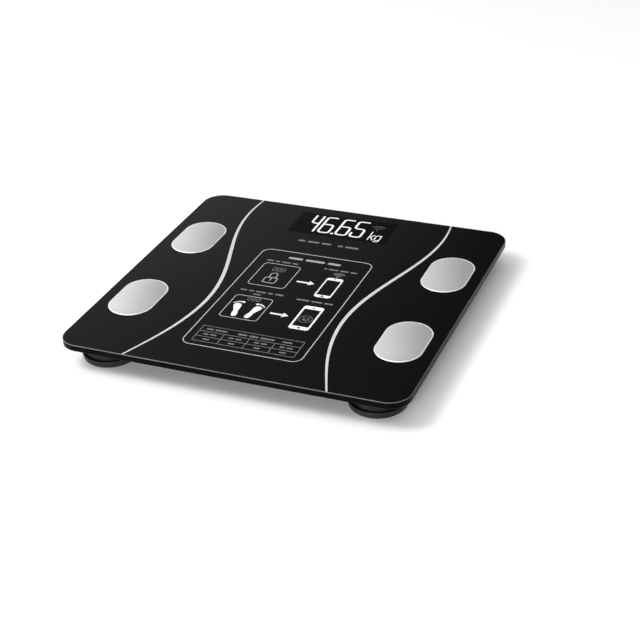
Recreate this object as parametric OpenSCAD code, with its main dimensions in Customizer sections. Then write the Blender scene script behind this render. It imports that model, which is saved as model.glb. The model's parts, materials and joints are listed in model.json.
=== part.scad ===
// Body-composition bathroom scale: a glass platform on four load-cell feet.
// Origin on the floor under the middle of the platform, +Z up, +Y towards the display edge.

/* [Platform] */
// Side of the square glass platform
plate_size = 260; // [255:1:320]
// Thickness of the glass
plate_thick = 5; // [3:0.5:6]
// Radius of the platform's corners
corner_r = 16; // [10:1:30]
// Width of the ground chamfer on the top edge
edge_cut = 0.5; // [0.4:0.1:1.4]

/* [Feet] */
// Distance of each foot's centre from the platform's two centre lines
foot_offset = 101.5; // [101:0.5:105]
// Height of the glass underside above the floor
stand_height = 16; // [16:0.5:20]
// Upward travel of a foot under full load
foot_travel = 0.6; // [0.2:0.1:0.6]
// Radius of the foot cup at its bottom
cup_low_r = 20; // [19.8:0.1:21]
// Radius of the foot cup at its rim
cup_rim_r = 21.1; // [21:0.1:23]

/* [Electrodes] */
// Width of each steel electrode
electrode_w = 34.4; // [28:0.2:38]
// Length of each steel electrode
electrode_l = 55.4; // [48:0.2:64]
// How far the electrodes stand above the glass
electrode_thick = 0.4; // [0.3:0.1:0.8]
// Distance of the electrodes' centres from the middle, side to side
electrode_x = 103.5; // [98:0.5:108]
// Place of the two rear electrodes, from the middle towards the display
electrode_rear = 50; // [45:1:60]
// Place of the two front electrodes, from the middle away from the display
electrode_front = 53; // [45:1:60]

/* [Display] */
// Width of the display panel
display_w = 84; // [70:1:84]
// Depth of the display panel
display_d = 38; // [30:1:38]

/* [Battery door] */
// Number of finger grooves in the battery door
door_grooves = 5; // [3:1:6]

/* [Hidden] */
$fn = 64;

// Overshoot of a cutting solid past the face that it cuts
over = 1;

// Levels under the glass, from the floor
tape_thick = 0.4;
under_glass = stand_height - tape_thick;
plate_top = stand_height + plate_thick;

// Corners: [side to side, front to back]
FRONT_LEFT = [-1, -1];
FRONT_RIGHT = [1, -1];
REAR_LEFT = [-1, 1];
REAR_RIGHT = [1, 1];
CORNERS = [FRONT_LEFT, FRONT_RIGHT, REAR_LEFT, REAR_RIGHT];

// Electrode stud, its hole in the glass and its nut
stud_r = 1.5;
stud_hole_r = 2;
nut_across = 6.2;
nut_thick = 1.6;
stud_below = 2.4;

// Foot: cup, pad, housing, carrier frame and load cell
cup_bottom = 0.8;
cup_rim_height = 5.6;
cup_floor = 1.6;
cup_wall = 1.4;
cup_edge_cut = 0.6;
pad_r = cup_low_r - 1.1;
pad_seat = 0.4;
pad_cut = 0.4;
hub_r = 18.2;
hub_wall = 1.6;
hub_roof = 1.6;
hub_low = 5.2;
frame_thick = 1.2;
frame_hole_r = 8.2;
stem_r = 7.6;
stem_head_r = 9.6;
head_gap = 0.05;
cell_side = 26;
cell_corner_r = 6;
cell_thick = 1.6;
cell_low = 9;
cell_bar = 4.6;
cell_tongue = 11;
cell_slot = 1.4;
gauge_r = 3.6;
gauge_thick = 0.8;
lead_slot_w = 5;
lead_drop_x = 9;

// Leads: a flat three-core ribbon from each load cell, a single core from each electrode
ribbon_w = 3.3;
core_w = 1.2;
lead_thick = 1;
lead_low = under_glass - lead_thick;
board_pad_x = 57;
cell_lead_track = 74;
cell_lead_front_y = 76;
electrode_track_front = 79;
electrode_track_rear = 84;
electrode_lead_front_y = 82;
electrode_lead_rear_y = 88;
tape_pad = [12, 9, 0.2];

// Main housing, under the display edge
housing_half_w = 64;
housing_front = 38;
housing_back = 124.4;
housing_r = 8;
housing_wall = 1.8;
housing_low = 4;
housing_skin = 1.6;
bump_low = 2.2;
bump_half_w = 32;
bump_back = 73;

// Battery bay, cells and door
bay_half_l = 25.5;
bay_front = 42.2;
bay_back = 66.4;
bay_wall = 4.5;
bay_rear_wall = 3;
bay_roof = under_glass - 1;
cell_r = 5.25;
cell_l = 43.3;
nub_r = 1.9;
nub_l = 1.2;
cell_mid_z = 8.95;
cell_front_y = 48.6;
cell_rear_y = 60;
contact_thick = 0.4;
contact_half_w = 4;
contact_low = 5;
contact_high = 11.6;
spring_r = 2.4;
spring_wire_r = 0.3;
spring_turns = 5;
door_thick = 1.2;
door_half_w = 28.5;
door_back = 69;
door_gap = 0.3;
rail = 1.5;
groove_depth = 0.4;
groove_pitch = 2.4;
groove_half_l = 9;

// Main board and what it carries
board_low = 9;
board_thick = 1;
board_top = board_low + board_thick;
board_half_w = 59;
board_front = 72;
board_back = 121.6;
board_screw_x = 55;
board_screw_y = [96, 117];
screw_r = 1;
screw_head_r = 1.9;
screw_head_h = 1.3;
screw_reach = 2.6;
boss_r = 3;
button_x = 50;
button_y = 76;
button_r = 3;
button_flange_r = 4.2;
button_travel = 0.6;
switch_side = 6;

// Display stack
display_x = 0;
display_y = 101;
holder_wall = 1.8;
holder_lip = 0.3;
panel_thick = 2.2;
panel_low = 12.7;
light_low = 10.3;
light_thick = 2.2;

// ---------- shared shapes ----------

// Square-cornered outline with rounded corners, w by d, centred
module round_rect(w, d, r) {
    square([w - 2 * r, d], center = true);
    square([w, d - 2 * r], center = true);
    for (sx = [-1, 1], sy = [-1, 1])
        translate([sx * (w / 2 - r), sy * (d / 2 - r)])
            circle(r);
}

// Half section of a plate edge, reach wide and h high, with chamfers
module edge_section(reach, h, top_cut, low_cut) {
    polygon([[0, 0], [reach - low_cut, 0], [reach, low_cut],
        [reach, h - top_cut], [reach - top_cut, h], [0, h]]);
}

// Plate with rounded corners and a chamfer all round its top and bottom edges
module cut_plate(w, d, h, r, top_cut, low_cut) {
    straight = [w - 2 * r, d - 2 * r];
    for (side = [0, 1])
        rotate([0, 0, 90 * side])
            for (flip = [0, 1])
                rotate([90, 0, 180 * flip])
                    linear_extrude(max(straight[1 - side], 0.02), center = true)
                        edge_section((side == 0 ? w : d) / 2, h, top_cut, low_cut);
    for (sx = [-1, 1], sy = [-1, 1])
        translate([sx * (w / 2 - r), sy * (d / 2 - r), 0])
            rotate_extrude()
                edge_section(r, h, top_cut, low_cut);
}

// Box from one corner to the other
module span(low, high) {
    translate(low)
        cube(high - low);
}

// Flat strip along a route of points, with round elbows
module strip(route, width, thick) {
    linear_extrude(thick) {
        for (i = [0 : len(route) - 2]) {
            step = route[i + 1] - route[i];
            translate(route[i])
                rotate(atan2(step[1], step[0]))
                    translate([0, -width / 2])
                        square([norm(step), width]);
        }
        for (i = [1 : len(route) - 2])
            translate(route[i])
                circle(d = width);
    }
}

// Places its child at one foot, mirrored so that +X always points at the platform's middle
module at_foot(corner) {
    translate([corner[0] * foot_offset, corner[1] * foot_offset, 0])
        mirror([corner[0] > 0 ? 1 : 0, 0, 0])
            children();
}

// Turns a part that is drawn for the left half onto the corner's own side
module on_side(corner) {
    mirror([corner[0] > 0 ? 1 : 0, 0, 0])
        children();
}

function electrode_y(corner) = corner[1] > 0 ? electrode_rear : -electrode_front;

// ---------- platform and electrodes ----------

module glass_platform() {
    color("#1c1c1f")
        difference() {
            translate([0, 0, stand_height])
                cut_plate(plate_size, plate_size, plate_thick, corner_r, edge_cut, edge_cut / 2);
            for (corner = CORNERS)
                translate([corner[0] * electrode_x, electrode_y(corner), stand_height - over])
                    cylinder(r = stud_hole_r, h = plate_thick + 2 * over);
        }
}

module electrode(corner) {
    color("#c6c6c8")
        translate([corner[0] * electrode_x, electrode_y(corner), 0]) {
            translate([0, 0, plate_top])
                cut_plate(electrode_w, electrode_l, electrode_thick, electrode_w / 2 - 0.2,
                    electrode_thick / 2, 0.05);
            translate([0, 0, stand_height - stud_below])
                cylinder(r = stud_r, h = plate_thick + stud_below + 0.1);
        }
}

module electrode_front_left() { electrode(FRONT_LEFT); }
module electrode_front_right() { electrode(FRONT_RIGHT); }
module electrode_rear_left() { electrode(REAR_LEFT); }
module electrode_rear_right() { electrode(REAR_RIGHT); }

module electrode_nuts() {
    color("#b9b9bc")
        for (corner = CORNERS)
            translate([corner[0] * electrode_x, electrode_y(corner), stand_height - nut_thick])
                difference() {
                    rotate(30)
                        cylinder(d = nut_across / cos(30), h = nut_thick, $fn = 6);
                    translate([0, 0, -over])
                        cylinder(r = stud_r + 0.02, h = nut_thick + 2 * over);
                }
}

// One core from the electrode's nut along the glass to the edge of the main board
module electrode_lead(corner) {
    track = corner[1] > 0 ? electrode_track_rear : electrode_track_front;
    end_y = corner[1] > 0 ? electrode_lead_rear_y : electrode_lead_front_y;
    start_x = electrode_x - nut_across / 2;
    color("#2f6fb0")
        on_side(corner) {
            translate([0, 0, lead_low])
                strip([[-start_x, electrode_y(corner)], [-track, electrode_y(corner)],
                    [-track, end_y], [-board_pad_x, end_y]], core_w, lead_thick);
            span([-board_pad_x - core_w / 2, end_y - core_w / 2, board_top],
                [-board_pad_x + core_w / 2, end_y + core_w / 2, under_glass]);
        }
}

module electrode_lead_front_left() { electrode_lead(FRONT_LEFT); }
module electrode_lead_front_right() { electrode_lead(FRONT_RIGHT); }
module electrode_lead_rear_left() { electrode_lead(REAR_LEFT); }
module electrode_lead_rear_right() { electrode_lead(REAR_RIGHT); }

// ---------- main housing ----------

// Outline of the housing, moved to its place, grown or shrunk by a margin
module housing_outline(margin) {
    translate([0, (housing_front + housing_back) / 2])
        round_rect(2 * (housing_half_w + margin), housing_back - housing_front + 2 * margin,
            housing_r + margin);
}

// Notches that the leads pass through, in both side walls
module lead_notches() {
    for (side = [-1, 1])
        for (y = [cell_lead_front_y, electrode_lead_front_y, electrode_lead_rear_y, foot_offset])
            translate([side * housing_half_w, y, under_glass])
                cube([4 * housing_wall, ribbon_w + 0.8, 2 * lead_thick + 0.4], center = true);
}

module housing_tape() {
    color("#e8e6df")
        translate([0, 0, under_glass])
            linear_extrude(tape_thick)
                difference() {
                    housing_outline(0);
                    housing_outline(-housing_wall);
                }
}

module board_bosses() {
    for (sx = [-1, 1], y = board_screw_y)
        translate([sx * board_screw_x, y, housing_low + 0.5])
            difference() {
                cylinder(r = boss_r, h = board_low - housing_low - 0.5);
                translate([0, 0, housing_skin])
                    cylinder(r = screw_r + 0.05, h = board_low);
            }
}

// Walls, roof and thicker bottom round the battery bay, before its hollows are cut
module bay_block() {
    span([-bay_half_l - bay_wall, housing_front + 0.4, housing_low + 0.5],
        [bay_half_l + bay_wall, bay_back + bay_rear_wall, under_glass]);
    span([-bump_half_w, housing_front, bump_low], [bump_half_w, bump_back, housing_low + 1]);
}

// Hollows of the battery bay: the bay, the door's recess, its rail grooves and the way for the tabs
module bay_hollows() {
    groove_low = bump_low + door_thick / 2 - 0.1;
    recess_top = bump_low + door_thick + 0.1;
    span([-bay_half_l, bay_front, bump_low - over], [bay_half_l, bay_back, bay_roof]);
    span([-door_half_w - door_gap, housing_front - over, bump_low - over],
        [door_half_w + door_gap, door_back + door_gap, recess_top]);
    span([-door_half_w - rail - door_gap, housing_front - over, groove_low],
        [door_half_w + rail + door_gap, door_back + door_gap, recess_top]);
    span([-bay_half_l, bay_back - over, board_top],
        [-bay_half_l + 2, bay_back + bay_rear_wall + over, board_top + 4]);
}

module main_housing() {
    color("#232325")
        difference() {
            union() {
                difference() {
                    translate([0, 0, housing_low])
                        linear_extrude(under_glass - housing_low)
                            housing_outline(0);
                    translate([0, 0, housing_low + housing_skin])
                        linear_extrude(under_glass)
                            housing_outline(-housing_wall);
                }
                bay_block();
                board_bosses();
            }
            bay_hollows();
            lead_notches();
            translate([button_x, button_y, housing_low - over])
                cylinder(r = button_r + 0.3, h = housing_skin + 2 * over);
        }
}

module battery_door() {
    rail_low = bump_low + door_thick / 2;
    color("#2b2b2d")
        difference() {
            union() {
                span([-door_half_w, housing_front, bump_low],
                    [door_half_w, door_back, bump_low + door_thick]);
                span([-door_half_w - rail, housing_front, rail_low],
                    [door_half_w + rail, door_back, bump_low + door_thick]);
            }
            for (i = [0 : door_grooves - 1])
                translate([0, housing_front + 4 + i * groove_pitch, bump_low])
                    cube([2 * groove_half_l, groove_pitch / 2, 2 * groove_depth], center = true);
        }
}

// One cell along X, its nub pointing to +X or -X
module battery_cell(y, way) {
    color("#b7a14a")
        translate([way * (bay_half_l - contact_thick - nub_l - cell_l / 2), y, cell_mid_z])
            rotate([0, way * 90, 0]) {
                cylinder(r = cell_r, h = cell_l, center = true);
                translate([0, 0, cell_l / 2 - 0.1])
                    cylinder(r = nub_r, h = nub_l + 0.1);
            }
}

module battery_cell_front() { battery_cell(cell_front_y, 1); }
module battery_cell_rear() { battery_cell(cell_rear_y, -1); }

// Free length of the spring between its contact and the flat end of its cell
spring_l = 2 * bay_half_l - 2 * contact_thick - cell_l - nub_l;
SPRING_SIDES = 8;
SPRING_STEPS = 14;
function helix_point(t, turns, r, length) = [r * cos(360 * turns * t), r * sin(360 * turns * t), length * t];

// Coil of round wire: rings of points round a helix, joined into a closed tube
module coil(turns, r, wire_r, length) {
    rings = turns * SPRING_STEPS;
    points = [for (i = [0 : rings]) for (k = [0 : SPRING_SIDES - 1])
        let (
            here = helix_point(i / rings, turns, r, length),
            outward = [cos(360 * turns * i / rings), sin(360 * turns * i / rings), 0],
            around = 360 * k / SPRING_SIDES
        )
        here + wire_r * (cos(around) * outward + sin(around) * [0, 0, 1])];
    sides = [for (i = [0 : rings - 1]) for (k = [0 : SPRING_SIDES - 1])
        let (next = (k + 1) % SPRING_SIDES)
        [i * SPRING_SIDES + k, i * SPRING_SIDES + next,
            (i + 1) * SPRING_SIDES + next, (i + 1) * SPRING_SIDES + k]];
    start_cap = [[for (k = [SPRING_SIDES - 1 : -1 : 0]) k]];
    end_cap = [[for (k = [0 : SPRING_SIDES - 1]) rings * SPRING_SIDES + k]];
    polyhedron(points, concat(sides, start_cap, end_cap));
}

module battery_springs() {
    color("#cfcfd2")
        for (end = [[cell_front_y, -1], [cell_rear_y, 1]])
            translate([end[1] * (bay_half_l - contact_thick - spring_wire_r), end[0], cell_mid_z])
                rotate([0, -end[1] * 90, 0])
                    coil(spring_turns, spring_r, spring_wire_r, spring_l - 2 * spring_wire_r);
}

// Contact plates at both ends of the bay; two tabs carry the current to the board
module battery_contacts() {
    left = -bay_half_l;
    right = bay_half_l;
    color("#d2c9a8") {
        span([right - contact_thick, cell_front_y - contact_half_w, contact_low],
            [right, cell_rear_y + contact_half_w, contact_high]);
        for (y = [cell_front_y, cell_rear_y])
            span([left, y - contact_half_w, contact_low],
                [left + contact_thick, y + contact_half_w, contact_high]);
        span([left, cell_rear_y + contact_half_w - over, board_top],
            [left + contact_thick, board_front + 3, board_top + 1.2]);
        span([left, cell_front_y - over, contact_high - over],
            [left + contact_thick, cell_front_y + over, board_top + 3.4]);
        span([left, cell_front_y - over, board_top + 2.2],
            [left + contact_thick, board_front + 3, board_top + 3.4]);
    }
}

// ---------- unit button, board and display ----------

module unit_button() {
    flange_low = housing_low + housing_skin + 0.05;
    color("#3a3a3d")
        translate([button_x, button_y, 0]) {
            translate([0, 0, housing_low - 0.3])
                cylinder(r = button_r, h = flange_low - housing_low + 0.4);
            translate([0, 0, flange_low])
                cylinder(r = button_flange_r, h = 0.4);
        }
}

// Switch on the underside of the board, just above the button
module unit_switch() {
    plunger_low = housing_low + housing_skin + 0.45 + button_travel + 0.05;
    color("#55565a")
        translate([button_x, button_y, 0]) {
            translate([-switch_side / 2, -switch_side / 2, plunger_low + 0.5])
                cube([switch_side, switch_side, board_low - plunger_low - 0.5]);
            translate([0, 0, plunger_low])
                cylinder(r = 1.7, h = 1);
        }
}

module main_board() {
    color("#1f6b3a")
        difference() {
            span([-board_half_w, board_front, board_low], [board_half_w, board_back, board_top]);
            for (sx = [-1, 1], y = board_screw_y)
                translate([sx * board_screw_x, y, board_low - over])
                    cylinder(r = screw_r + 0.2, h = board_thick + 2 * over);
        }
}

module board_screws() {
    color("#a9a9ad")
        for (sx = [-1, 1], y = board_screw_y)
            translate([sx * board_screw_x, y, 0])
                difference() {
                    union() {
                        translate([0, 0, board_top])
                            cylinder(r = screw_head_r, h = screw_head_h);
                        translate([0, 0, board_low - screw_reach])
                            cylinder(r = screw_r, h = screw_reach + board_thick + 0.1);
                    }
                    for (turn = [0, 90])
                        translate([0, 0, board_top + screw_head_h])
                            rotate(turn)
                                cube([2.2, 0.5, 1], center = true);
                }
}

// A chip: a flat body with a row of legs down two sides
module chip(centre, size, legs) {
    leg = [0.4, 1, 0.3];
    pitch = (size[0] - 1) / legs;
    translate([centre[0], centre[1], board_top]) {
        translate([-size[0] / 2, -size[1] / 2, 0.1])
            cube(size);
        for (i = [0 : legs - 1], side = [-1, 1])
            translate([(i - (legs - 1) / 2) * pitch - leg[0] / 2, side * size[1] / 2 - leg[1] / 2, 0])
                cube(leg);
    }
}

module controller_chip() {
    color("#2a2a2c")
        chip([48, 106], [8, 8, 1.2], 8);
}

module amplifier_chip() {
    color("#2a2a2c")
        chip([-50.5, 106], [6, 4.4, 1.2], 6);
}

// Radio board with a pressed shield over its chip
module wireless_module() {
    color("#c9c9cc") {
        span([44, 79, board_top], [53.4, 93, board_top + 0.8]);
        span([45, 80, board_top + 0.7], [52.4, 88.5, board_top + 2.4]);
    }
}

module at_display() {
    translate([display_x, display_y, 0])
        children();
}

module display_holder() {
    half_w = display_w / 2;
    half_d = display_d / 2;
    color("#e9e9e6")
        at_display()
            difference() {
                span([-half_w - holder_wall, -half_d - holder_wall, board_top],
                    [half_w + holder_wall, half_d + holder_wall, under_glass - 0.2]);
                span([-half_w - holder_lip, -half_d - holder_lip, panel_low - 0.1],
                    [half_w + holder_lip, half_d + holder_lip, under_glass + over]);
                span([3 - half_w, 5 - half_d, board_top - over], [half_w - 3, half_d - 1, panel_low]);
                span([6 - half_w, 0.6 - half_d, board_top - over], [half_w - 6, 3.2 - half_d, panel_low]);
            }
}

module display_panel() {
    color("#0d0d10")
        at_display()
            span([-display_w / 2, -display_d / 2, panel_low],
                [display_w / 2, display_d / 2, panel_low + panel_thick]);
}

module backlight_panel() {
    color("#f4f4f0")
        at_display()
            span([3.4 - display_w / 2, 5.4 - display_d / 2, light_low],
                [display_w / 2 - 6.4, display_d / 2 - 1.4, light_low + light_thick]);
}

module backlight_leds() {
    color("#f2e9a8")
        at_display()
            for (y = [-6, 8])
                span([display_w / 2 - 6.2, y - 1.6, board_top], [display_w / 2 - 3.4, y + 1.6, board_top + 1.7]);
}

// Rubber strip that joins the panel's contacts to the board
module contact_strip() {
    color("#d9a6b8")
        at_display()
            span([6.4 - display_w / 2, 0.9 - display_d / 2, board_top],
                [display_w / 2 - 6.4, 2.9 - display_d / 2, panel_low]);
}

// ---------- feet ----------

// Opening in the hub's roof and wall that its lead comes out of
module hub_lead_slot() {
    span([lead_drop_x - 0.8, -lead_slot_w / 2, lead_low - 0.6], [hub_r + over, lead_slot_w / 2, under_glass + over]);
}

module foot_housing(corner) {
    color("#262628")
        at_foot(corner)
            difference() {
                translate([0, 0, hub_low])
                    cylinder(r = hub_r, h = under_glass - hub_low);
                translate([0, 0, hub_low - over])
                    cylinder(r = hub_r - hub_wall, h = under_glass - hub_roof - hub_low + over);
                hub_lead_slot();
            }
}

module foot_housing_front_left() { foot_housing(FRONT_LEFT); }
module foot_housing_front_right() { foot_housing(FRONT_RIGHT); }
module foot_housing_rear_left() { foot_housing(REAR_LEFT); }
module foot_housing_rear_right() { foot_housing(REAR_RIGHT); }

module foot_tapes() {
    color("#e8e6df")
        for (corner = CORNERS)
            at_foot(corner)
                translate([0, 0, under_glass])
                    difference() {
                        cylinder(r = hub_r - 0.4, h = tape_thick);
                        span([lead_drop_x - 0.8, -lead_slot_w / 2, -over], [hub_r + over, lead_slot_w / 2, over]);
                    }
}

// Carrier that closes the hub from below and holds up the two side bars of the load cell
module cell_frame(corner) {
    inner_r = hub_r - hub_wall - 0.05;
    color("#2f2f31")
        at_foot(corner)
            translate([0, 0, hub_low])
                difference() {
                    union() {
                        cylinder(r = inner_r, h = frame_thick);
                        intersection() {
                            cylinder(r = inner_r - 0.6, h = cell_low - hub_low);
                            for (side = [-1, 1])
                                translate([0, side * (cell_side - cell_bar) / 2, 5])
                                    cube([cell_side - 8, cell_bar - 0.8, 10], center = true);
                        }
                    }
                    translate([0, 0, -over])
                        cylinder(r = frame_hole_r, h = frame_thick + 2 * over);
                    translate([0, 0, frame_thick])
                        cylinder(r = stem_head_r + 0.4, h = cell_low - hub_low);
                }
}

module cell_frame_front_left() { cell_frame(FRONT_LEFT); }
module cell_frame_front_right() { cell_frame(FRONT_RIGHT); }
module cell_frame_rear_left() { cell_frame(REAR_LEFT); }
module cell_frame_rear_right() { cell_frame(REAR_RIGHT); }

// Steel bending plate: an outer frame and a tongue, parted by a slot on three sides
module load_cell(corner) {
    inner = cell_side / 2 - cell_bar;
    color("#a6a8ac")
        at_foot(corner)
            translate([0, 0, cell_low])
                linear_extrude(cell_thick)
                    difference() {
                        round_rect(cell_side, cell_side, cell_corner_r);
                        for (side = [-1, 1])
                            translate([-inner, side * (cell_tongue + cell_slot) / 2 - cell_slot / 2])
                                square([2 * inner, cell_slot]);
                        translate([-inner, -(cell_tongue + cell_slot) / 2])
                            square([cell_slot, cell_tongue + cell_slot]);
                    }
}

module load_cell_front_left() { load_cell(FRONT_LEFT); }
module load_cell_front_right() { load_cell(FRONT_RIGHT); }
module load_cell_rear_left() { load_cell(REAR_LEFT); }
module load_cell_rear_right() { load_cell(REAR_RIGHT); }

// Soft white cover over the strain gauge on each tongue
module gauge_covers() {
    color("#f2f2ef")
        for (corner = CORNERS)
            at_foot(corner)
                translate([lead_drop_x - 1, 0, cell_low + cell_thick])
                    cylinder(r = gauge_r, h = gauge_thick);
}

// Flat three-core lead from the gauge, up through the hub's roof and along the glass to the board
module cell_lead(corner) {
    start_x = foot_offset - lead_drop_x;
    drop_low = cell_low + cell_thick + gauge_thick;
    route = corner[1] > 0
        ? [[-start_x, foot_offset], [-board_pad_x, foot_offset]]
        : [[-start_x, -foot_offset], [-cell_lead_track, -foot_offset],
            [-cell_lead_track, cell_lead_front_y], [-board_pad_x, cell_lead_front_y]];
    end_y = route[len(route) - 1][1];
    color("#c7c2b8")
        on_side(corner) {
            translate([0, 0, lead_low])
                strip(route, ribbon_w, lead_thick);
            span([-start_x, route[0][1] - ribbon_w / 2, drop_low],
                [-start_x + lead_thick, route[0][1] + ribbon_w / 2, under_glass]);
            span([-board_pad_x - lead_thick / 2, end_y - ribbon_w / 2, board_top],
                [-board_pad_x + lead_thick / 2, end_y + ribbon_w / 2, under_glass]);
        }
}

module cell_lead_front_left() { cell_lead(FRONT_LEFT); }
module cell_lead_front_right() { cell_lead(FRONT_RIGHT); }
module cell_lead_rear_left() { cell_lead(REAR_LEFT); }
module cell_lead_rear_right() { cell_lead(REAR_RIGHT); }

// Patches that hold the leads up against the glass
module lead_tapes() {
    color("#dcdcd8")
        for (side = [-1, 1], y = [-84, -30, 20])
            translate([side * (cell_lead_track + 2.5), y, lead_low - tape_pad[2] / 2])
                cube(tape_pad, center = true);
}

// Moving cup with a stem that presses on the load cell's tongue
module foot_cup(corner) {
    stem_low = cup_bottom + cup_floor - 0.2;
    head_low = hub_low + frame_thick + head_gap;
    head_top = cell_low - foot_travel - 0.1;
    color("#29292b")
        at_foot(corner)
            difference() {
                union() {
                    rotate_extrude()
                        polygon([
                            [0, cup_bottom], [cup_low_r - cup_edge_cut, cup_bottom],
                            [cup_low_r, cup_bottom + cup_edge_cut],
                            [cup_rim_r, cup_rim_height - 0.3], [cup_rim_r - 0.3, cup_rim_height],
                            [cup_rim_r - cup_wall, cup_rim_height],
                            [cup_low_r - cup_wall, cup_bottom + cup_floor],
                            [0, cup_bottom + cup_floor]
                        ]);
                    translate([0, 0, stem_low])
                        cylinder(r = stem_r, h = head_low - stem_low + 0.2);
                    translate([0, 0, head_low])
                        cylinder(r = stem_head_r, h = head_top - head_low);
                }
                translate([0, 0, cup_bottom - over])
                    cylinder(r = pad_r + 0.05, h = over + pad_seat);
            }
}

module foot_cup_front_left() { foot_cup(FRONT_LEFT); }
module foot_cup_front_right() { foot_cup(FRONT_RIGHT); }
module foot_cup_rear_left() { foot_cup(REAR_LEFT); }
module foot_cup_rear_right() { foot_cup(REAR_RIGHT); }

module foot_pad(corner) {
    color("#3b3b3d")
        at_foot(corner)
            rotate_extrude()
                polygon([[0, 0], [pad_r - pad_cut, 0], [pad_r, pad_cut],
                    [pad_r, cup_bottom + pad_seat], [0, cup_bottom + pad_seat]]);
}

module foot_pad_front_left() { foot_pad(FRONT_LEFT); }
module foot_pad_front_right() { foot_pad(FRONT_RIGHT); }
module foot_pad_rear_left() { foot_pad(REAR_LEFT); }
module foot_pad_rear_right() { foot_pad(REAR_RIGHT); }

// ---------- assembly ----------

glass_platform();
electrode_front_left();
electrode_front_right();
electrode_rear_left();
electrode_rear_right();
electrode_nuts();
electrode_lead_front_left();
electrode_lead_front_right();
electrode_lead_rear_left();
electrode_lead_rear_right();
housing_tape();
main_housing();
battery_door();
battery_cell_front();
battery_cell_rear();
battery_springs();
battery_contacts();
unit_button();
unit_switch();
main_board();
controller_chip();
amplifier_chip();
wireless_module();
board_screws();
display_holder();
display_panel();
backlight_panel();
backlight_leds();
contact_strip();
foot_tapes();
lead_tapes();
gauge_covers();
foot_housing_front_left();
foot_housing_front_right();
foot_housing_rear_left();
foot_housing_rear_right();
cell_frame_front_left();
cell_frame_front_right();
cell_frame_rear_left();
cell_frame_rear_right();
load_cell_front_left();
load_cell_front_right();
load_cell_rear_left();
load_cell_rear_right();
cell_lead_front_left();
cell_lead_front_right();
cell_lead_rear_left();
cell_lead_rear_right();
foot_cup_front_left();
foot_cup_front_right();
foot_cup_rear_left();
foot_cup_rear_right();
foot_pad_front_left();
foot_pad_front_right();
foot_pad_rear_left();
foot_pad_rear_right();
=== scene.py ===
import json
import math
import bpy
import numpy as np
from mathutils import Matrix, Vector


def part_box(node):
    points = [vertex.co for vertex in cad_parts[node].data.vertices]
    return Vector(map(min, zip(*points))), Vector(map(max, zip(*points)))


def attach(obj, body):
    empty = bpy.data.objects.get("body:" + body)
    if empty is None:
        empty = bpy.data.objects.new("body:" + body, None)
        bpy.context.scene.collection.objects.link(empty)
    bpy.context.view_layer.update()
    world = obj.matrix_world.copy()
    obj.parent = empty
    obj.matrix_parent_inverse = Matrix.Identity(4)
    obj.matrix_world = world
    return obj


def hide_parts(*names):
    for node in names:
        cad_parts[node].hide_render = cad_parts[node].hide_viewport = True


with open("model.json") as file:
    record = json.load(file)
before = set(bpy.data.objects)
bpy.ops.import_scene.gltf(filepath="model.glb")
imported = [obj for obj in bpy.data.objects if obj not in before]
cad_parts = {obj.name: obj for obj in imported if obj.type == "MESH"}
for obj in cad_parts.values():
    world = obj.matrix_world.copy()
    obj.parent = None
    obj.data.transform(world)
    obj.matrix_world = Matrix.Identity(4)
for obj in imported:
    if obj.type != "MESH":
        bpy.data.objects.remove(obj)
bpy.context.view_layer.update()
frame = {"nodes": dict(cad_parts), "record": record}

mm = 0.001
cadNodes = frame["nodes"]
corners = ("front_left", "front_right", "rear_left", "rear_right")
print("scale: packed model loaded")


camera = dict(
    place=(0.3761, -0.8516, 0.5240),
    aim=(0.0371, -0.0431, 0.0210),
    roll=-2.33,  # degrees
    lens=79.78,  # mm on a 36 mm wide sensor
)

studio = dict(
    floorColour=(0.86, 0.86, 0.86),
    floorHalf=8.0,
    keyPower=20.0,
    keyPlace=(-1.15, -0.55, 1.55),
    keySize=0.8,
    fillPower=30.0,
    fillPlace=(0.25, -1.7, 0.42),
    fillSize=1.0,
    horizon=1.0,  # radiance of the room near the ground
    horizonBand=(0.14, 0.30),  # sines of the heights between which it fades
    dimSlope=0.56,  # between ground and ceiling it is dark, but brighter towards the left
    dimBand=(0.37, 0.52),  # and brighter by dimLift below these sines
    dimLift=1.3,
    ceiling=1.4,
    ceilingLeft=3.7,  # what the ceiling gains towards the left
    ceilingBand=(0.60, 0.80),
    zenithBand=(0.90, 0.97),  # straight overhead it is dim again
    zenithDim=0.8,
    leftFrom=0.2,  # sine of the turn from which the left side counts as left
)


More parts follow.
